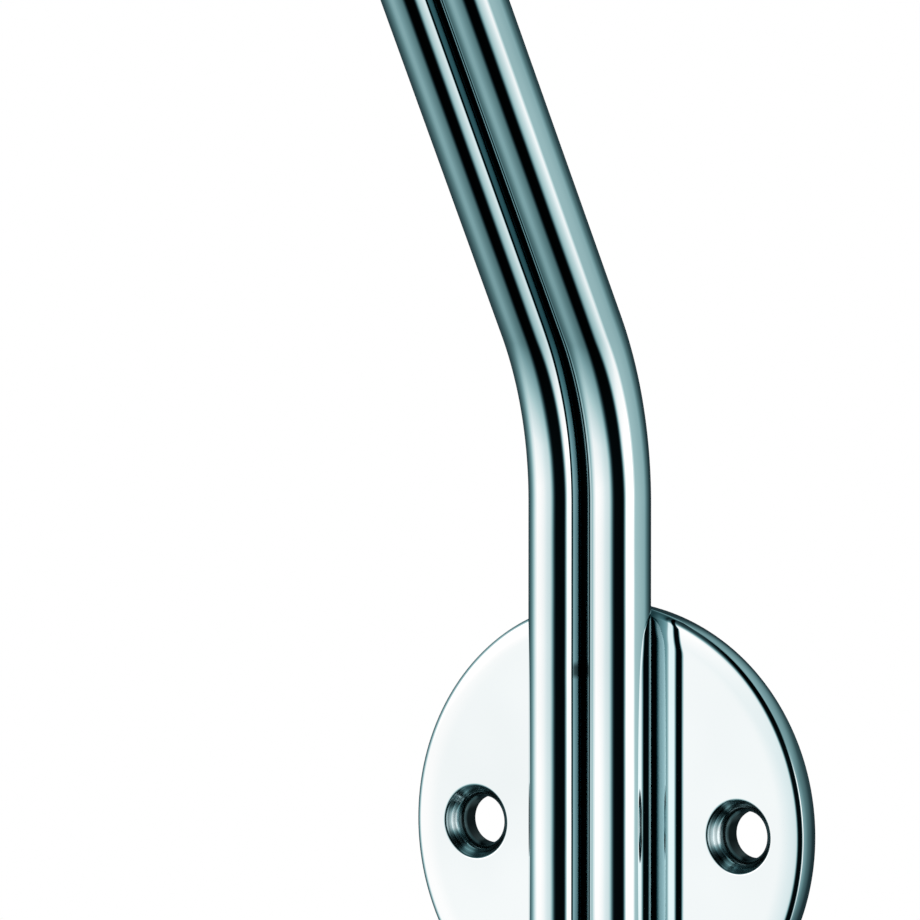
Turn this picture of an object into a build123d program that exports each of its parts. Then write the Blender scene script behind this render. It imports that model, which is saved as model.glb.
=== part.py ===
from build123d import *
import os

# Hat and coat hook: two round rods, bent alike and laid side by side, are welded upright
# across a round back plate, which two countersunk screws hold to the wall.
# Millimetres and degrees. The origin is the centre of the plate's back, which lies on the
# wall plane y = 0; +Z is up and the front of the hook faces -Y.

# Back plate
plate_diameter = 50.0
plate_thickness = 4.0
front_bevel_width = 0.8  # measured in from the rim, across the front face
front_bevel_depth = 0.4  # measured back from the front face
back_bevel = 0.6

# Screw holes, level with each other on either side of the rods
screw_spacing = 34.0
screw_hole_diameter = 5.2
countersink_diameter = 8.2
countersink_angle = 90.0

# Rods
rod_diameter = 7.0
rod_gap = 0.6  # clear space between the two rods
weld_flat_depth = 0.1  # ground off the back of each rod so that it seats on the plate
weld_flat_overrun = 1.0  # how far that flat runs past the plate's rim, above and below

# Hat arm: the stem leaves the plate upward, then leans out from the wall
hat_stem_above_rim = 11.0
hat_bend_radius = 36.0  # to the rod's centreline
hat_lean = 33.0  # of the arm, away from upright
hat_arm_length = 58.0  # straight run from the bend to the centre of the domed end

# Coat hook: the stem leaves the plate downward, then turns out and up
coat_stem_below_rim = 7.0
coat_bend_radius = 16.0  # to the rod's centreline
coat_lean = 33.0  # of the tip, away from upright
coat_tip_length = 10.0  # straight run from the bend to the centre of the domed end

plate_radius = plate_diameter / 2
rod_radius = rod_diameter / 2
rod_offset = (rod_diameter + rod_gap) / 2  # each rod's centreline, either side of the middle
rod_standoff = plate_thickness + rod_radius - weld_flat_depth  # centreline from the wall

# Side view of the rods, looking along +X: first axis out from the wall, second axis up
PROFILE = Plane(origin=(0, -rod_standoff, 0), x_dir=(0, -1, 0), z_dir=(-1, 0, 0))


def make_back_plate():
    """Turned plate with a bevelled rim and two countersunk screw holes."""
    with BuildPart() as plate:
        with BuildSketch():
            Polygon((0, 0),
                    (plate_radius - back_bevel, 0),
                    (plate_radius, -back_bevel),
                    (plate_radius, -plate_thickness + front_bevel_depth),
                    (plate_radius - front_bevel_width, -plate_thickness),
                    (0, -plate_thickness),
                    align=None)
        revolve(axis=Axis.Y)
        with Locations(Plane.XZ.offset(plate_thickness)):
            with GridLocations(screw_spacing, 0, 2, 1):
                CounterSinkHole(screw_hole_diameter / 2, countersink_diameter / 2,
                                counter_sink_angle=countersink_angle)
    return plate.part


def rod_centreline():
    """One planar line from the hat arm's end, down the stem, to the coat hook's end."""
    stem = Line((0, -plate_radius - coat_stem_below_rim), (0, plate_radius + hat_stem_above_rim))
    hat_bend = JernArc(stem @ 1, stem % 1, hat_bend_radius, -hat_lean)
    hat_arm = Line(hat_bend @ 1, hat_bend @ 1 + (hat_bend % 1) * hat_arm_length)
    coat_bend = JernArc(stem @ 0, -(stem % 0), coat_bend_radius, 180 - coat_lean)
    coat_tip = Line(coat_bend @ 1, coat_bend @ 1 + (coat_bend % 1) * coat_tip_length)
    return PROFILE * Wire([hat_arm, hat_bend, stem, coat_bend, coat_tip])


def domed_end(point, outward):
    """Half ball that closes a rod at a point of its centreline."""
    half_ball = Sphere(rod_radius, arc_size1=0, align=(Align.CENTER, Align.CENTER, Align.MIN))
    return Plane(origin=point, z_dir=outward) * half_ball


def make_rod(x):
    """Round bar swept along the centreline, domed at both ends, with a flat where it is welded."""
    line = rod_centreline()
    rod = sweep(Plane(origin=line @ 0, z_dir=line % 0) * Circle(rod_radius), path=line)
    rod += domed_end(line @ 0, -(line % 0))
    rod += domed_end(line @ 1, line % 1)
    flat_length = plate_diameter + 2 * weld_flat_overrun
    rod -= Pos(0, -plate_thickness, 0) * Box(rod_diameter, plate_thickness, flat_length,
                                             align=(Align.CENTER, Align.MIN, Align.CENTER))
    return Pos(x, 0, 0) * rod


nodes = {
    "back_plate": make_back_plate(),
    "left_rod": make_rod(-rod_offset),
    "right_rod": make_rod(rod_offset),
}

os.makedirs("parts", exist_ok=True)
for name, solid in nodes.items():
    export_step(solid, f"parts/{name}.step")
    print(f"{name}: {solid.volume:.1f} mm3")
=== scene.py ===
# %% [markdown]
# # A hat and coat hook in polished chrome
# The real hook is two round bars, bent alike, laid side by side and welded upright across a
# round plate that two screws hold to the wall. The imported CAD model is loaded first and stays as
# a fixed frame: it says where every piece belongs, so nothing below is placed by eye. The finished
# model may not grow beyond it.

# %% Load the frame
import math

import bmesh
import bpy
from mathutils import Matrix, Vector


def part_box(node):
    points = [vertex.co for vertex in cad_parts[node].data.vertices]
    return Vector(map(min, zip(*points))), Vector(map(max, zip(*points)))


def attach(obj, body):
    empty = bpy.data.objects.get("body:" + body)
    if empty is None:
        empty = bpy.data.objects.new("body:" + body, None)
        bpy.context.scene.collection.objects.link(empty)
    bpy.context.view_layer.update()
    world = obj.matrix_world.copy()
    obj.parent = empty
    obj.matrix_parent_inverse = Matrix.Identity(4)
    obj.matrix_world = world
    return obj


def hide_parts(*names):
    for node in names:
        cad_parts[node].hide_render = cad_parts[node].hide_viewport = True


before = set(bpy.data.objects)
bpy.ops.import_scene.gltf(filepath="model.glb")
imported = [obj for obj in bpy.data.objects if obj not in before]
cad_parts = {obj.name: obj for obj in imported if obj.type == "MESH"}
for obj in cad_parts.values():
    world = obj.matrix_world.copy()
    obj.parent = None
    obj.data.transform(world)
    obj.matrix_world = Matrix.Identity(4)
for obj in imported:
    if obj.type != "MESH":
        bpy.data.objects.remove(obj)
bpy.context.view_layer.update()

print("nodes in the frame:", sorted(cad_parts))

# %% [markdown]
# ## Sizes
# Blender works in metres, so millimetres are scaled as they are typed. What a box can tell, such
# as how thick the plate is or how far apart the bars stand, is measured on the solids. What no
# box shows, such as a bend, is stated again where it is needed.

# %% Measure the solids
MM = 0.001
WELD_FLAT = 0.1 * MM
plate_low, plate_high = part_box("back_plate")
bar_low, bar_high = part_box("right_rod")
plate_radius = plate_high.x
plate_face = plate_low.y
bar_radius = (bar_high.x - bar_low.x) / 2
bar_offset = (bar_high.x + bar_low.x) / 2
stem_y = plate_face - bar_radius + WELD_FLAT

print(f"plate {2 * plate_radius / MM:.2f} mm across and {-plate_face / MM:.2f} mm thick")
print(f"bars {2 * bar_radius / MM:.2f} mm thick, {2 * bar_offset / MM:.2f} mm from middle to middle")

# %% [markdown]
# ## The bars
# A bent bar could be a curve with a round bevel, but a curve's rings bunch up at tight bends. Here
# one ring of edges is drawn along instead, as a bar is drawn through a die: a straight run is an
# extrusion and a bend is a spin about the bend's own centre. Every ring then sits square to the
# bar, so a mirror finish shows no kinks.

# %% Draw and bend a ring of edges
BAR_SIDES = 128


def corners(ring):
    """The vertices of a ring of edges."""
    return list({v for e in ring for v in e.verts})


def draw(bm, ring, move, shrink=1.0, about=None):
    """Extrude a ring, shrink it about a point and move it; the new ring comes back."""
    made = bmesh.ops.extrude_edge_only(bm, edges=ring)["geom"]
    verts = [g for g in made if isinstance(g, bmesh.types.BMVert)]
    if about is not None:
        bmesh.ops.scale(bm, verts=verts, vec=(shrink,) * 3, space=Matrix.Translation(-about))
    bmesh.ops.translate(bm, verts=verts, vec=move)
    fresh = set(verts)
    return [g for g in made if isinstance(g, bmesh.types.BMEdge) and fresh.issuperset(g.verts)]


def bend(bm, ring, centre, degrees, steps):
    """Spin a ring about a centre, on an axis that runs across the bars."""
    made = bmesh.ops.spin(bm, geom=corners(ring) + list(ring), cent=centre, axis=(1, 0, 0),
                          dvec=(0, 0, 0), angle=math.radians(degrees), steps=steps,
                          use_merge=False, use_duplicate=False)["geom_last"]
    return [g for g in made if isinstance(g, bmesh.types.BMEdge)]


print(f"a ring of a bar has {BAR_SIDES} sides")

# %% [markdown]
# ## Domed ends
# Both ends of a bar are plainly rounded, so that nothing snags on them. Half a ball could be added
# and joined on, but that leaves a seam in the mesh. The last ring is drawn out in a few steps
# instead, and each step shrinks it as a ball would.

# %% Close a ring with a dome
DOME_RINGS = 16
QUARTER_TURN = 90.0


def dome(bm, ring, outward):
    """Close a ring with half a ball: each smaller ring stands a little further out."""
    centre = sum((v.co for v in corners(ring)), Vector()) / BAR_SIDES
    radius = (ring[0].verts[0].co - centre).length
    for k in range(DOME_RINGS):
        here = math.radians(QUARTER_TURN * k / DOME_RINGS)
        there = math.radians(QUARTER_TURN * (k + 1) / DOME_RINGS)
        rise = outward * radius * (math.sin(there) - math.sin(here))
        ring = draw(bm, ring, rise, math.cos(there) / math.cos(here), centre)
        centre = centre + rise


print(f"a domed end has {DOME_RINGS} rings")

# %% [markdown]
# ## Drawing one bar
# The bar starts as a level circle half way up the plate, where the stem is plainly upright. It is
# drawn up and leaned out for the hat arm, then drawn down from the same circle and turned up for
# the coat hook. Both ends lean by the same angle, so both point the same way.

# %% Draw a bar
STEM_TOP = plate_radius + 11.0 * MM
STEM_FOOT = -plate_radius - 7.0 * MM
HALF_TURN = 180.0
LEAN = 33.0
HAT_BEND, HAT_STEPS, HAT_RUN = 36.0 * MM, 44, 58.0 * MM
COAT_BEND, COAT_STEPS, COAT_RUN = 16.0 * MM, 110, 10.0 * MM
WELD_DISTANCE = 1e-7
leaning = Vector((0, -math.sin(math.radians(LEAN)), math.cos(math.radians(LEAN))))


def drawn_bar(x):
    """One bar from its level circle: up to the hat arm's end, then down to the coat hook's."""
    bm = bmesh.new()
    bmesh.ops.create_circle(bm, cap_ends=False, segments=BAR_SIDES, radius=bar_radius,
                            matrix=Matrix.Translation((x, stem_y, 0)))
    start = list(bm.edges)
    ring = draw(bm, start, Vector((0, 0, STEM_TOP)))
    ring = bend(bm, ring, (x, stem_y - HAT_BEND, STEM_TOP), LEAN, HAT_STEPS)
    ring = draw(bm, ring, leaning * HAT_RUN)
    dome(bm, ring, leaning)
    ring = draw(bm, start, Vector((0, 0, STEM_FOOT)))
    ring = bend(bm, ring, (x, stem_y - COAT_BEND, STEM_FOOT), LEAN - HALF_TURN, COAT_STEPS)
    ring = draw(bm, ring, leaning * COAT_RUN)
    dome(bm, ring, leaning)
    bmesh.ops.remove_doubles(bm, verts=bm.verts, dist=WELD_DISTANCE)
    return bm


print(f"stem from {STEM_FOOT / MM:.1f} to {STEM_TOP / MM:.1f} mm, both ends leaning {LEAN:.0f} degrees")

# %% [markdown]
# ## Seating the bars
# A round bar would touch the plate along a mere line, so the welder grinds a narrow flat along
# its back. Two cuts close together at each end of the flat keep its step short; between them
# every vertex that stands past the plate's face is pressed back onto it.

# %% Grind the flat
FLAT_END = plate_radius + 1.0 * MM
FLAT_STEP = 0.05 * MM
CUT_DISTANCE = 1e-8


def grind_flat(bm):
    """Press the back of a bar onto the plate's face, a little past the rim at both ends."""
    for height in (-FLAT_END - FLAT_STEP, -FLAT_END, FLAT_END, FLAT_END + FLAT_STEP):
        bmesh.ops.bisect_plane(bm, geom=list(bm.verts) + list(bm.edges) + list(bm.faces),
                               dist=CUT_DISTANCE, plane_co=(0, 0, height), plane_no=(0, 0, 1))
    for v in bm.verts:
        if abs(v.co.z) <= FLAT_END + WELD_DISTANCE and v.co.y > plate_face:
            v.co.y = plate_face


print(f"flat {2 * FLAT_END / MM:.0f} mm long on the back of each bar")

# %% [markdown]
# ## Pieces on the frame
# Each finished mesh becomes a smooth piece that stands for one CAD solid and rides on its body.
# Normals are recalculated last, because a spin can turn a shape inside out.

# %% Make the two bars
def as_piece(bm, name, solid):
    """Turn a finished bmesh into a smooth piece that stands for a CAD node."""
    bmesh.ops.recalc_face_normals(bm, faces=bm.faces)
    for face in bm.faces:
        face.smooth = True
    mesh = bpy.data.meshes.new(name)
    bm.to_mesh(mesh)
    bm.free()
    piece = bpy.data.objects.new(name, mesh)
    bpy.context.scene.collection.objects.link(piece)
    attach(piece, "root")
    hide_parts(solid)
    print(f"{name}: {len(mesh.vertices)} vertices, {len(mesh.polygons)} faces")
    return piece


bars = []
for side, x in (("left", -bar_offset), ("right", bar_offset)):
    bar = drawn_bar(x)
    grind_flat(bar)
    bars.append(as_piece(bar, f"{side}_bar", f"{side}_rod"))

# %% [markdown]
# ## The plate's rim
# Buffing leaves no plate quite flat and no edge quite square. Here the face falls away a little
# towards the rim, rolls over in a soft shoulder, turns a crisp corner and runs back along a side
# that leans in towards the wall. A bevel gives one radius, so each stretch is an arc of its own
# that leaves where the last one ended, and a mirror finish flows over them without a break. One
# vertex is spun about each arc's centre in turn, as with the Spin tool on a single point.

# %% Helpers for a section
def facing(degrees):
    """A direction in the section: 0 faces the front, 90 outward and 180 the wall."""
    return Vector((math.sin(math.radians(degrees)), -math.cos(math.radians(degrees)), 0))


def swing(bm, vert, radius, start, stop, steps):
    """Spin a vertex along an arc, between two ways that its surface faces; the last one comes back."""
    made = bmesh.ops.spin(bm, geom=[vert], cent=vert.co - radius * facing(start), axis=(0, 0, 1),
                          dvec=(0, 0, 0), angle=math.radians(stop - start), steps=steps,
                          use_merge=False, use_duplicate=False)["geom_last"]
    return next(g for g in made if isinstance(g, bmesh.types.BMVert))


def step_on(bm, vert, x):
    """Extrude a vertex sideways along a flat face; the new one comes back."""
    made = bmesh.ops.extrude_vert_indiv(bm, verts=[vert])["verts"]
    bmesh.ops.translate(bm, verts=made, vec=(x, 0, 0))
    return made[0]


def turn_wire(bm, x, steps):
    """Spin the loose edges of a mesh right round an axis that stands square to the wall."""
    wire = [e for e in bm.edges if e.is_wire]
    bmesh.ops.spin(bm, geom=corners(wire) + wire, cent=(x, 0, 0), axis=(0, 1, 0), dvec=(0, 0, 0),
                   angle=math.tau, steps=steps, use_merge=True, use_duplicate=False)
    return len(wire)


print("straight out, the section faces", tuple(round(c, 3) for c in facing(90)))

# %% [markdown]
# ## Turning the rim
# The section is drawn outward from a short flat strip, which keeps the soft rim from tilting the
# shading of the flat face. The side's last direction is worked out so that the small round at the
# back ends exactly on the wall. The drawn section is then moved out until its widest point has the
# plate's radius, and spun right round.

# %% Turn the rim
RIM_STEPS = 256
RIM_STRIP = 0.3 * MM
FACING_FRONT, FACING_WALL = 0.0, 180.0
FALL_ROUND, FALL_TURN, FALL_STEPS = 15.0 * MM, 8.0, 8
SHOULDER_ROUND, SHOULDER_TURN, SHOULDER_STEPS = 1.35 * MM, 45.0, 10
CORNER_ROUND, CORNER_TURN, CORNER_STEPS = 0.1 * MM, 85.0, 5
SIDE_ROUND, SIDE_STEPS = 7.0 * MM, 12
BACK_ROUND, BACK_STEPS = 0.2 * MM, 6

disc = bmesh.new()
tip = step_on(disc, disc.verts.new((0, plate_face, 0)), RIM_STRIP)
tip = swing(disc, tip, FALL_ROUND, FACING_FRONT, FALL_TURN, FALL_STEPS)
tip = swing(disc, tip, SHOULDER_ROUND, FALL_TURN, SHOULDER_TURN, SHOULDER_STEPS)
tip = swing(disc, tip, CORNER_ROUND, SHOULDER_TURN, CORNER_TURN, CORNER_STEPS)
side_centre = tip.co - SIDE_ROUND * facing(CORNER_TURN)
side_turn = math.degrees(math.acos((side_centre.y + BACK_ROUND) / (SIDE_ROUND - BACK_ROUND)))
tip = swing(disc, tip, SIDE_ROUND, CORNER_TURN, side_turn, SIDE_STEPS)
tip = swing(disc, tip, BACK_ROUND, side_turn, FACING_WALL, BACK_STEPS)
step_on(disc, tip, -RIM_STRIP)
bmesh.ops.translate(disc, verts=disc.verts, vec=(plate_radius - SIDE_ROUND - side_centre.x, 0, 0))
print("edges in the rim's section:", turn_wire(disc, 0, RIM_STEPS))

# %% [markdown]
# ## Screw holes
# A hole's section runs down a right-angled countersink and then straight back. Its corners are
# softened by a vertex bevel before it is spun: the rim of the countersink hardly, its foot more,
# because the drill and the polish both wear that edge down.

# %% Turn the screw holes
HOLE_STEPS = 96
HOLE_STRIP = 0.4 * MM
SCREW_X = 17.0 * MM
SINK_RADIUS, SINK_SOFT = 4.1 * MM, 0.15 * MM
BORE_RADIUS, FOOT_SOFT, BORE_SOFT = 2.6 * MM, 0.9 * MM, 0.1 * MM
SOFT_SEGMENTS = 8
sink_foot = plate_face + SINK_RADIUS - BORE_RADIUS
hole_section = [
    (SINK_RADIUS + HOLE_STRIP, plate_face, 0),
    (SINK_RADIUS + HOLE_STRIP / 2, plate_face, 0),
    (SINK_RADIUS, plate_face, SINK_SOFT),
    (BORE_RADIUS, sink_foot, FOOT_SOFT),
    (BORE_RADIUS, 0, BORE_SOFT),
    (BORE_RADIUS + HOLE_STRIP / 2, 0, 0),
    (BORE_RADIUS + HOLE_STRIP, 0, 0),
]


def turn_hole(bm, x):
    """Draw a hole's section beside its axis, soften its corners and spin it."""
    verts = [bm.verts.new((x + radius, y, 0)) for radius, y, _ in hole_section]
    for a, b in zip(verts, verts[1:]):
        bm.edges.new((a, b))
    for vert, (_, _, soften) in zip(verts, hole_section):
        if soften:
            bmesh.ops.bevel(bm, geom=[vert], offset=soften, offset_type="OFFSET",
                            segments=SOFT_SEGMENTS, profile=0.5, affect="VERTICES", material=-1)
    return turn_wire(bm, x, HOLE_STEPS)


print("edges in the holes' sections:", [turn_hole(disc, x) for x in (-SCREW_X, SCREW_X)])

# %% [markdown]
# ## Faces of the plate
# Only the flat front and back are missing now. They are filled between the open rings, which
# leaves the holes open. Three finishes meet on the one piece, so each face is told which it has:
# the holes are as the drill left them, the back is as the sheet was rolled, and the rest is
# polished.

# %% Fill the plate and sort its faces
POLISHED, DRILLED, ROLLED = range(3)
FLAT_TOLERANCE = 1e-6


def fill_flat(bm, y, normal):
    """Fill the open rings that lie at one depth, leaving the holes open."""
    rings = [e for e in bm.edges
             if e.is_boundary and all(abs(v.co.y - y) < FLAT_TOLERANCE for v in e.verts)]
    bmesh.ops.triangle_fill(bm, use_beauty=True, use_dissolve=False, edges=rings, normal=normal)
    return len(rings)


def finish_of(face):
    """The finish of a face, by where its middle lies."""
    middle = face.calc_center_median()
    if middle.y > -BACK_ROUND / 2:
        return ROLLED
    in_hole = math.hypot(abs(middle.x) - SCREW_X, middle.z) < SINK_RADIUS
    return DRILLED if in_hole else POLISHED


bmesh.ops.remove_doubles(disc, verts=disc.verts, dist=WELD_DISTANCE)
print("edges round the front and back:", fill_flat(disc, plate_face, (0, -1, 0)),
      fill_flat(disc, 0.0, (0, 1, 0)))
for face in disc.faces:
    face.material_index = finish_of(face)
plate = as_piece(disc, "plate_disc", "back_plate")

# %% [markdown]
# ## Shader helpers
# Every finish below is a metal with the same few ingredients: noise read at a place on the piece,
# a ramp that turns it into colour, a range that turns it into roughness, and a relief. Each gets
# a small helper, so a finish reads as a list of what is on the surface. Places are Object
# coordinates, which stay put when the piece is exported.

# %% Nodes, ramps and sums
def add(tree, kind, **settings):
    """A new shader node; a setting is the value of a free socket or a property of the node."""
    made = tree.nodes.new(kind)
    for key, value in settings.items():
        if key in made.inputs:
            made.inputs[key].default_value = value
        else:
            setattr(made, key, value)
    return made


def ramp(tree, stops, source):
    """A colour ramp through (position, colour) stops, fed from a socket."""
    made = add(tree, "ShaderNodeValToRGB")
    elements = made.color_ramp.elements
    while len(elements) < len(stops):
        elements.new(1.0)
    for element, (position, colour) in zip(elements, stops):
        element.position = position
        element.color = (*colour, 1)
    tree.links.new(source, made.inputs["Fac"])
    return made.outputs["Color"]


def sums(tree, operation, first, second=None):
    """A math node on sockets or plain numbers."""
    made = add(tree, "ShaderNodeMath", operation=operation)
    for socket, value in zip(made.inputs, (first, second)):
        if isinstance(value, bpy.types.NodeSocket):
            tree.links.new(value, socket)
        elif value is not None:
            socket.default_value = value
    return made.outputs["Value"]


print("helpers for shader trees:", add.__name__, ramp.__name__, sums.__name__)

# %% [markdown]
# ## What a metal surface is made of
# Noise seldom reaches 0 or 1, so a range is read from the middle of it. Its scale is the number of
# cells in a metre, and its detail adds finer layers. A relief is given in real millimetres: a
# bump's distance is how far its white stands above its black.

# %% Helpers for a metal
NOISE_LOW, NOISE_HIGH = 0.3, 0.7


def metal(name):
    """A new metal: the material, its tree, its shader and the place of a point on the piece."""
    material = bpy.data.materials.new(name)
    material.use_nodes = True
    tree = material.node_tree
    shader = tree.nodes["Principled BSDF"]
    shader.inputs["Metallic"].default_value = 1.0
    return material, tree, shader, add(tree, "ShaderNodeTexCoord").outputs["Object"]


def stretched(tree, place, scale):
    """A place with each axis scaled, which draws a pattern out along the smallest."""
    made = add(tree, "ShaderNodeMapping", Scale=scale)
    tree.links.new(place, made.inputs["Vector"])
    return made.outputs["Vector"]


def noise(tree, place, **settings):
    """Noise from 0 to 1, read at a place or, in one dimension, at a number."""
    made = add(tree, "ShaderNodeTexNoise", **settings)
    tree.links.new(place, made.inputs["W" if made.noise_dimensions == "1D" else "Vector"])
    return made.outputs["Fac"]


def spread(tree, source, low, high, source_low=NOISE_LOW, source_high=NOISE_HIGH):
    """A number that runs from low to high while the source crosses its own range."""
    made = add(tree, "ShaderNodeMapRange", **{"From Min": source_low, "From Max": source_high,
                                              "To Min": low, "To Max": high})
    tree.links.new(source, made.inputs["Value"])
    return made.outputs["Result"]


def dimmed(tree, colour, share):
    """A colour times a share, which is a number or a tint."""
    made = add(tree, "ShaderNodeVectorMath", operation="MULTIPLY")
    tree.links.new(colour, made.inputs[0])
    tree.links.new(share, made.inputs[1])
    return made.outputs["Vector"]


def relief(tree, shader, height, depth):
    """Raise a surface by a height from 0 to 1 times a depth in metres."""
    made = add(tree, "ShaderNodeBump", Strength=1.0, Distance=depth)
    tree.links.new(height, made.inputs["Height"])
    tree.links.new(made.outputs["Normal"], shader.inputs["Normal"])


print(f"noise is read between {NOISE_LOW} and {NOISE_HIGH}")

# %% [markdown]
# ## Polished chrome
# Chrome plate has hardly any colour of its own: what is seen is the studio. Three faint things
# keep it from looking like a computer's mirror: the steel under it is a little wavy, the polishing
# leaves hair-fine marks along the work, and the tone is not quite even. The chrome is tinted cool,
# so light that bounces between the two bars turns blue green, and the studio's light is warmed to
# make up for it.

# %% Build the chrome
CHROME_TONES = [(0.35, (0.555, 0.68, 0.7)), (0.65, (0.595, 0.72, 0.74))]
CHROME_ROUGHNESS = (0.006, 0.018)
MARKS = {"Scale": 2600.0, "Detail": 3.0, "Roughness": 0.6}
CLOUDS = {"Scale": 45.0, "Detail": 2.0}
WAVES = {"Scale": 110.0, "Detail": 1.0}
PLATE_GRAIN, PLATE_WAVE = (0.05, 1.0, 1.0), 0.006 * MM


def chrome(name, grain, wave, shade_veil=None):
    """Polished chrome; grain draws out its marks, wave is its waviness, and an optional tint of painted
    shade dims its tone.
    """
    material, tree, shader, place = metal(name)
    marks = noise(tree, stretched(tree, place, grain), **MARKS)
    tree.links.new(spread(tree, marks, *CHROME_ROUGHNESS), shader.inputs["Roughness"])
    clouds = noise(tree, place, **CLOUDS)
    tone = ramp(tree, CHROME_TONES, clouds)
    # painted shade: the tint darkens the chrome's base colour where shade falls
    if shade_veil:
        tone = dimmed(tree, tone, shade_veil(tree, place))
    tree.links.new(tone, shader.inputs["Base Color"])
    relief(tree, shader, noise(tree, place, **WAVES), wave)
    return material


plate_chrome = chrome("plate_chrome", PLATE_GRAIN, PLATE_WAVE)
print("polished:", plate_chrome.name)

# %% [markdown]
# ## Painted shade between the bars
# Shade falls between the bars and behind them on the plate, and it is painted into the chrome's
# colour there as a darker tone. How open a point lies is told by how far it stands off the middle
# plane and off the plate's face; the smaller of the two counts, and past the rim only the first
# does. A little below the plate's top a small dark spot of painted shade is put between the bars:
# it fades out up and down, and the larger of two numbers keeps it from reaching out of the gap.

# %% Paint shade into the gap and dress the bars
BAR_GRAIN, BAR_WAVE = (1.0, 1.0, 0.04), 0.03 * MM
# painted shade: these tones darken the chrome deep in the gap and behind the bars
GAP_SHADE_TONES = [(0.0, (0.1, 0.16, 0.17)), (0.65, (0.56, 0.7, 0.73)), (1.0, (1.0, 1.0, 1.0))]
GAP_MOUTH = 1.05 * MM
BEHIND_DEEP, BEHIND_MOUTH, RIM_FADE = 0.4 * MM, 1.9 * MM, 2.0 * MM
# painted shade: a small dark spot of shade between the bars, a little below the plate's top
SHADE_SPOT_HEIGHT, SHADE_SPOT_CORE, SHADE_SPOT_EDGE = 17.7 * MM, 0.4 * MM, 1.0 * MM
SHADE_SPOT_MOUTH, SHADE_SPOT_TONE = 0.9 * MM, 0.45
gap_narrowest = bar_offset - bar_radius


def painted_bar_shade(tree, place):
    """A tint of painted shade that dims the gap between the bars and the plate's face behind them, and
    is white elsewhere.
    """
    axes = add(tree, "ShaderNodeSeparateXYZ")
    tree.links.new(place, axes.inputs["Vector"])
    x, y, z = axes.outputs["X"], axes.outputs["Y"], axes.outputs["Z"]
    off_middle = sums(tree, "ABSOLUTE", x)
    in_gap = spread(tree, off_middle, 0.0, 1.0, gap_narrowest, GAP_MOUTH)
    off_plate = sums(tree, "SUBTRACT", plate_face, y)
    behind_bar = spread(tree, off_plate, 0.0, 1.0, BEHIND_DEEP, BEHIND_MOUTH)
    past_rim = spread(tree, sums(tree, "ABSOLUTE", z), 0.0, 1.0, plate_radius, plate_radius + RIM_FADE)
    openness = sums(tree, "MINIMUM", in_gap, sums(tree, "MAXIMUM", behind_bar, past_rim))
    # painted shade: the small dark spot between the bars
    off_shade_spot = sums(tree, "ABSOLUTE", sums(tree, "SUBTRACT", z, SHADE_SPOT_HEIGHT))
    shade_spot = spread(tree, off_shade_spot, SHADE_SPOT_TONE, 1.0, SHADE_SPOT_CORE, SHADE_SPOT_EDGE)
    outside = spread(tree, off_middle, 0.0, 1.0, SHADE_SPOT_MOUTH, GAP_MOUTH)
    return dimmed(tree, ramp(tree, GAP_SHADE_TONES, openness), sums(tree, "MAXIMUM", shade_spot, outside))


# the bars' chrome carries the painted shade of the gap and of the plate behind them
bar_chrome = chrome("bar_chrome", BAR_GRAIN, BAR_WAVE, painted_bar_shade)
for piece in bars:
    piece.data.materials.append(bar_chrome)
# the dimness named in this print is painted shade between and behind the bars
print("polished, and dim where the wheel does not reach:", bar_chrome.name)

# %% [markdown]
# ## Drilled steel
# A polishing wheel does not reach into a screw hole, so its walls keep the fine rings of the
# drill and are duller. Shade falls deep in the holes, and it is painted into the colour as a tone
# that darkens towards the bottom. Both holes stand the same way off the middle, so the places are
# folded onto one of them first. A ring is then a noise in one dimension, read along the wall:
# distance from the hole's axis plus height above the wall.

# %% Build the drilled finish
DRILLED_TONES = [(0.3, (0.25, 0.37, 0.39)), (0.7, (0.42, 0.58, 0.61))]
DRILLED_ROUGHNESS = (0.22, 0.12)
RINGS, RING_HEIGHT = {"noise_dimensions": "1D", "Scale": 2200.0, "Detail": 2.0}, 0.008 * MM
# painted shade: the holes' walls darken towards the bottom, down to nearly black
SHADE_DARKEST_BELOW, SHADE_ENDS_ABOVE, DEEP_SHADE_TONE = 1.7 * MM, 3.1 * MM, 0.02


def drilled(name):
    """The steel of the screw holes, with the drill's rings and painted shade that darkens it towards the
    bottom.
    """
    material, tree, shader, place = metal(name)
    folded = add(tree, "ShaderNodeVectorMath", operation="ABSOLUTE")
    tree.links.new(place, folded.inputs[0])
    about_hole = add(tree, "ShaderNodeSeparateXYZ")
    tree.links.new(folded.outputs["Vector"], about_hole.inputs["Vector"])
    across = sums(tree, "SUBTRACT", about_hole.outputs["X"], SCREW_X)
    height, upward = about_hole.outputs["Y"], about_hole.outputs["Z"]
    squares = sums(tree, "ADD", sums(tree, "MULTIPLY", across, across),
                   sums(tree, "MULTIPLY", upward, upward))
    along_wall = sums(tree, "ADD", sums(tree, "SQRT", squares), height)
    rings = noise(tree, along_wall, **RINGS)
    # painted shade deep in the hole
    painted_depth_shade = spread(tree, height, DEEP_SHADE_TONE, 1.0, SHADE_DARKEST_BELOW, SHADE_ENDS_ABOVE)
    tree.links.new(dimmed(tree, ramp(tree, DRILLED_TONES, rings), painted_depth_shade), shader.inputs["Base Color"])
    tree.links.new(spread(tree, rings, *DRILLED_ROUGHNESS), shader.inputs["Roughness"])
    relief(tree, shader, rings, RING_HEIGHT)
    return material


drilled_steel = drilled("drilled_steel")
print("drilled:", drilled_steel.name)

# %% [markdown]
# ## Rolled steel
# Nobody sees the plate's back once it hangs, so it is left as the sheet came from the mill: pale,
# a little dull, with fine lines along the way it was rolled. A noise drawn out fifty times along
# one axis makes such lines.

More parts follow.
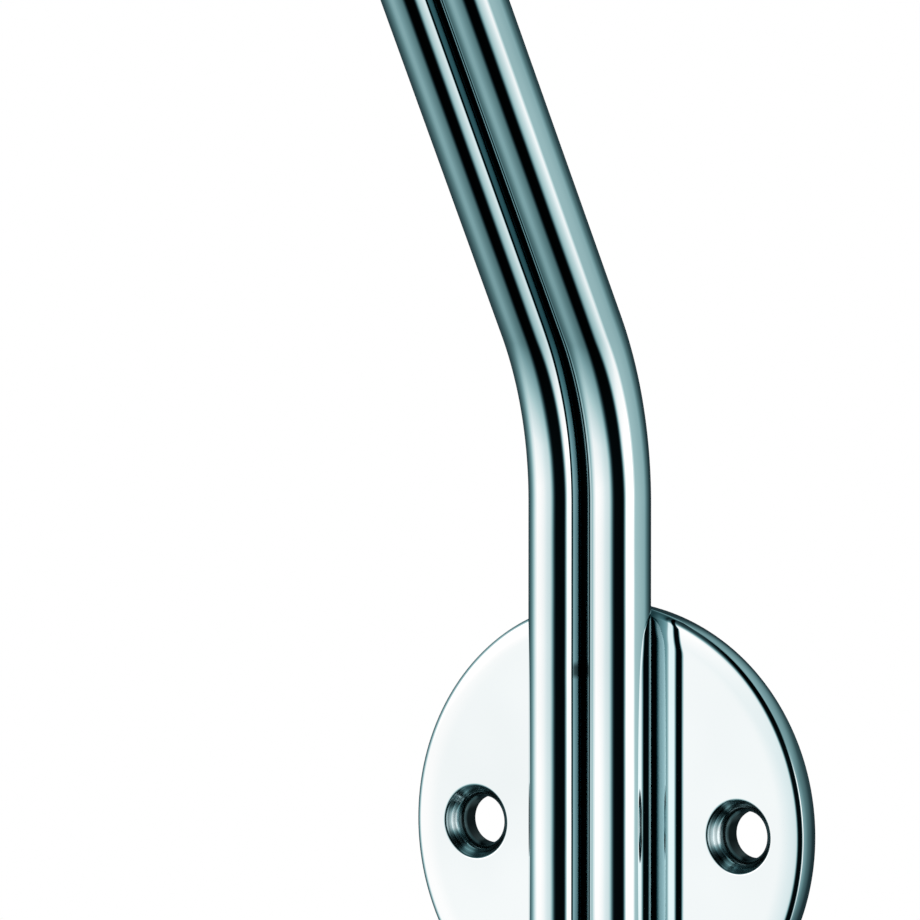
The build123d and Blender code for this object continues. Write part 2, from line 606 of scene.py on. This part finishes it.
# %% Build the rolled finish and dress the plate
ROLLED_TONES = [(0.3, (0.46, 0.53, 0.54)), (0.7, (0.6, 0.67, 0.68))]
ROLLED_ROUGHNESS = (0.36, 0.5)
LINES, LINE_HEIGHT = {"Scale": 2400.0, "Detail": 4.0, "Roughness": 0.65}, 0.004 * MM
ROLLED_GRAIN = (1.0, 1.0, 0.02)


def rolled(name):
    """The back of the plate, with upright rolling lines."""
    material, tree, shader, place = metal(name)
    lines = noise(tree, stretched(tree, place, ROLLED_GRAIN), **LINES)
    tree.links.new(ramp(tree, ROLLED_TONES, lines), shader.inputs["Base Color"])
    tree.links.new(spread(tree, lines, *ROLLED_ROUGHNESS), shader.inputs["Roughness"])
    relief(tree, shader, lines, LINE_HEIGHT)
    return material


for finish in (plate_chrome, drilled_steel, rolled("rolled_steel")):
    plate.data.materials.append(finish)
print("finishes on the plate:", [m.name for m in plate.data.materials])

# %% [markdown]
# ## The studio
# Chrome is lit by what it mirrors, so the light is built as a room and not as lamps: a white tent
# all round, dim behind the hook and towards the ground. The room is painted on the world by
# direction. Each factor of it is a grey ramp over an angle in degrees: 0 is straight out from the
# wall, and positive is to the right and up.

# %% Directions and ramps of the tent
FULL_TURN = 360.0

world = bpy.data.worlds.new("tent")
world.use_nodes = True
bpy.context.scene.world = world
tent = world.node_tree
tent.nodes.clear()
split = add(tent, "ShaderNodeSeparateXYZ")
tent.links.new(add(tent, "ShaderNodeTexCoord").outputs["Generated"], split.inputs["Vector"])
dx, dy, dz = split.outputs["X"], split.outputs["Y"], split.outputs["Z"]
azimuth = sums(tent, "DEGREES", sums(tent, "ARCTAN2", dx, sums(tent, "MULTIPLY", dy, -1.0)))
elevation = sums(tent, "DEGREES", sums(tent, "ARCSINE", dz))


def greys(levels, source, span):
    """A grey ramp through (value, grey) pairs; the source's values run over a span about 0."""
    share = sums(tent, "ADD", sums(tent, "DIVIDE", source, span), 0.5)
    return ramp(tent, [(value / span + 0.5, (grey,) * 3) for value, grey in levels], share)


def light(level):
    """A grey from 0 to 255, as it would look on screen, turned into light by the sRGB curve."""
    v = level / 255
    return v / 12.92 if v <= 0.04045 else ((v + 0.055) / 1.055) ** 2.4


print("a mid grey of 128 is", round(light(128), 3), "of full light")

# %% [markdown]
# ## Walls and slit
# The walls are brightest to the left and right of the camera. The tent leans a little, so its
# ground and roof stand higher on one side, and its right wall is skewed. Where the camera looks
# in, the tent has a dark slit that widens towards the ground: that slit is the black stripe down
# every bar.

# %% Paint the walls and the slit
TENT_LEAN = 5.0
WALL_SKEW = 0.52
SLIT_AZIMUTH = 29.5
SLIT_WIDENS_BELOW, SLIT_WIDENING = -0.34, 0.62

wall_levels = [(-180, 42), (-140, 42), (-112, 72), (-102, 98), (-94, 124), (-86, 156), (-78, 198),
               (-70, 232), (-60, 252), (-44, 250), (-30, 243), (-14, 226), (0, 216), (40, 240),
               (58, 255), (81, 255), (91, 182), (134, 161), (144, 130), (152, 100), (172, 46), (180, 42)]
fall_levels = [(-90, 0.04), (-75, 0.1), (-62, 0.18), (-45, 0.46), (-25, 0.9), (-12, 1.0),
               (-3, 1.0), (8, 1.15), (22, 1.15), (30, 0.5), (40, 0.1), (52, 0.04), (90, 0.04)]
slit_levels = [(-36, 1.0), (-32, 0.92), (-28, 0.66), (-23.5, 0.25), (-18.5, 0.03), (-13.5, 0.003),
               (14.5, 0.002), (18, 0.006), (21, 0.08), (24, 0.42), (27, 0.78), (31, 1.0)]

to_right = sums(tent, "MAXIMUM", dx, 0.0)
skew = sums(tent, "MULTIPLY", sums(tent, "MULTIPLY", to_right, WALL_SKEW), elevation)
walls = greys([(a, light(v)) for a, v in wall_levels], sums(tent, "ADD", azimuth, skew), FULL_TURN)
lean = sums(tent, "MULTIPLY", dx, TENT_LEAN)
fall = greys(fall_levels, sums(tent, "ADD", elevation, lean), HALF_TURN)
below = sums(tent, "MINIMUM", sums(tent, "SUBTRACT", dz, SLIT_WIDENS_BELOW), 0.0)
wider = sums(tent, "SUBTRACT", 1.0, sums(tent, "MULTIPLY", below, SLIT_WIDENING))
off_slit = sums(tent, "DIVIDE", sums(tent, "SUBTRACT", azimuth, SLIT_AZIMUTH), wider)
slit = greys(slit_levels, off_slit, FULL_TURN)
lit_walls = sums(tent, "MULTIPLY", sums(tent, "MULTIPLY", walls, fall), slit)
print("stops in the walls, their fall and the slit:",
      len(wall_levels), len(fall_levels), len(slit_levels))

# %% [markdown]
# ## Light behind and above
# Two more lights are added to the walls. A soft panel stands behind the hook to the right, above
# and below the level of the eye, and edges the leaning arm. A pale lid and a pale ground close
# the tent straight above and below, so the hook is not black when it is seen from those sides.

# %% Add the panel and the lid
panel_levels = [(-70, 0.0), (-58, 0.25), (-36, 0.25), (-28, 0.0), (-5, 0.0), (11, 0.03), (25, 0.22),
                (35, 0.33), (50, 0.3), (65, 0.06), (80, 0.0)]
behind_levels = [(-0.1, 0.0), (0.4, 1.0)]
rightward_levels = [(-0.36, 0.0), (-0.18, 0.75), (0.06, 1.0)]
lid_levels = [(-90, 0.5), (-84, 0.4), (-76, 0.0), (63, 0.0), (76, 0.35), (90, 0.4)]
UNIT_SPAN = 2.0

panel = greys(panel_levels, elevation, HALF_TURN)
behind = greys(behind_levels, dy, UNIT_SPAN)
rightward = greys(rightward_levels, dx, UNIT_SPAN)
lit_panel = sums(tent, "MULTIPLY", sums(tent, "MULTIPLY", panel, behind), rightward)
lid = greys(lid_levels, elevation, HALF_TURN)
amount = sums(tent, "ADD", sums(tent, "ADD", lit_walls, lit_panel), lid)
print("stops in the panel and the lid:", len(panel_levels), len(lid_levels))

# %% [markdown]
# ## Colour of the light
# The greys of the room are cool, a blue green, while its white and its black are neutral. A ramp
# on the finished amount of light gives each its colour, so the bars pick up cool edges beside
# neutral highlights. Its hottest white is brighter than a picture can show, so it still looks white
# after two bounces. The camera and the floor see plain white instead of the tent.

# %% Tint the tent and keep the backdrop white
TENT_STRENGTH = 1.43
WARMTH = (1.22, 1.0, 0.97)
tints = [(0.0, (0.0, 0.0, 0.0)), (0.014, (0.006, 0.016, 0.02)), (0.066, (0.032, 0.074, 0.084)),
         (0.17, (0.09, 0.19, 0.205)), (0.32, (0.195, 0.355, 0.38)), (0.54, (0.39, 0.58, 0.6)),
         (0.81, (0.72, 0.83, 0.85)), (0.97, (1.0, 1.0, 1.0)), (1.0, (1.3, 1.3, 1.3))]
warmed = [(at, tuple(c * w for c, w in zip(colour, WARMTH))) for at, colour in tints]

seen_in_chrome = add(tent, "ShaderNodeBackground", Strength=TENT_STRENGTH)
tent.links.new(ramp(tent, warmed, amount), seen_in_chrome.inputs["Color"])
seen_plainly = add(tent, "ShaderNodeBackground", Color=(1, 1, 1, 1), Strength=1.0)
ray = add(tent, "ShaderNodeLightPath").outputs
choose = add(tent, "ShaderNodeMixShader")
tent.links.new(sums(tent, "MAXIMUM", ray["Is Camera Ray"], ray["Is Diffuse Ray"]), choose.inputs["Fac"])
tent.links.new(seen_in_chrome.outputs["Background"], choose.inputs[1])
tent.links.new(seen_plainly.outputs["Background"], choose.inputs[2])
tent.links.new(choose.outputs["Shader"], add(tent, "ShaderNodeOutputWorld").inputs["Surface"])
print("tints in the tent:", len(tints))

# %% [markdown]
# ## Bounces and tone
# Light that bounces many times between the two bars ends as grain in the narrow gap. Real chrome
# swallows about a third of it each time, so three bounces are plenty. The plain view transform
# keeps white white and black black, as in a catalogue picture.

# %% Set the bounces and the view
GLOSSY_BOUNCES = 3
bpy.context.scene.cycles.glossy_bounces = GLOSSY_BOUNCES
bpy.context.scene.view_settings.view_transform = "Standard"
print("bounces between mirrors:", GLOSSY_BOUNCES)

# %% [markdown]
# ## Floor
# A hook hangs on a wall, so the floor lies well below it: a plain pale sheet that the other views
# can stand on. Its edge would draw a hard line behind the hook, so the sheet is round and its
# colour is painted paler outward until it is white: painted light that fades it into the white
# backdrop, as a studio's paper sweep looks. It is kept out of the chrome's reflections, where the
# tent already has a ground of its own.

# %% Lay the floor
FLOOR_HEIGHT = -0.22
FLOOR_RADIUS = 1.4
FLOOR_SIDES = 96
# painted light: the floor's colour pales from grey near the hook to white at its edge, fading it into
# the white backdrop
FLOOR_PAINTED_FADE = [(0.2, (0.84, 0.85, 0.85)), (0.55, (0.93, 0.93, 0.93)), (0.95, (1.0, 1.0, 1.0))]

sheet = bmesh.new()
bmesh.ops.create_circle(sheet, cap_ends=True, segments=FLOOR_SIDES, radius=FLOOR_RADIUS,
                        matrix=Matrix.Translation((0, 0, FLOOR_HEIGHT)))
floor_mesh = bpy.data.meshes.new("floor")
sheet.to_mesh(floor_mesh)
sheet.free()
floor = bpy.data.objects.new("floor", floor_mesh)
bpy.context.scene.collection.objects.link(floor)
floor.visible_glossy = False

pale = bpy.data.materials.new("pale_floor")
pale.use_nodes = True
paper = pale.node_tree
paper_shader = paper.nodes["Principled BSDF"]
paper_shader.inputs["Roughness"].default_value = 1.0
paper_shader.inputs["Specular IOR Level"].default_value = 0.0
from_hook = add(paper, "ShaderNodeVectorMath", operation="LENGTH")
paper.links.new(add(paper, "ShaderNodeTexCoord").outputs["Object"], from_hook.inputs[0])
outward = sums(paper, "DIVIDE", from_hook.outputs["Value"], FLOOR_RADIUS)
paper.links.new(ramp(paper, FLOOR_PAINTED_FADE, outward), paper_shader.inputs["Base Color"])
floor_mesh.materials.append(pale)
print(f"floor {2 * FLOOR_RADIUS:.1f} m wide, {-FLOOR_HEIGHT:.2f} m below the plate's middle")

# %% [markdown]
# ## Camera
# The camera looks from the right and from just above the plate's middle, with a long lens, so the
# two bars stay parallel. It is placed by one anchor: the middle of the plate's face is put at its
# own point of the picture, low and right of the centre, and the hook runs out of the frame above
# and below.

# %% Place the camera
IMAGE_SIZE = 920
PIXELS_PER_METRE = 9120.0
ANCHOR = (606.0, 829.0)
AZIMUTH, ELEVATION = math.radians(33.0), math.radians(3.4)
DISTANCE = 1.2
SENSOR_WIDTH = 36.0
LENS_NEAR, LENS_FAR = 0.05, 20.0

back = Vector((math.sin(AZIMUTH) * math.cos(ELEVATION), -math.cos(AZIMUTH) * math.cos(ELEVATION),
               math.sin(ELEVATION)))
right = Vector((math.cos(AZIMUTH), math.sin(AZIMUTH), 0))
up = back.cross(right)
shift_right = (ANCHOR[0] - IMAGE_SIZE / 2) / PIXELS_PER_METRE
shift_down = (ANCHOR[1] - IMAGE_SIZE / 2) / PIXELS_PER_METRE

lens = bpy.data.cameras.new("camera")
lens.sensor_width = SENSOR_WIDTH
lens.lens = SENSOR_WIDTH * PIXELS_PER_METRE * DISTANCE / IMAGE_SIZE
lens.clip_start, lens.clip_end = LENS_NEAR, LENS_FAR
camera = bpy.data.objects.new("camera", lens)
bpy.context.scene.collection.objects.link(camera)
camera.location = (Vector((0, plate_face, 0)) - right * shift_right + up * shift_down
                   + back * DISTANCE)
camera.rotation_mode = "QUATERNION"
camera.rotation_quaternion = (-back).to_track_quat("-Z", "Y")
bpy.context.scene.camera = camera
print(f"lens {lens.lens:.0f} mm at {DISTANCE:.1f} m")
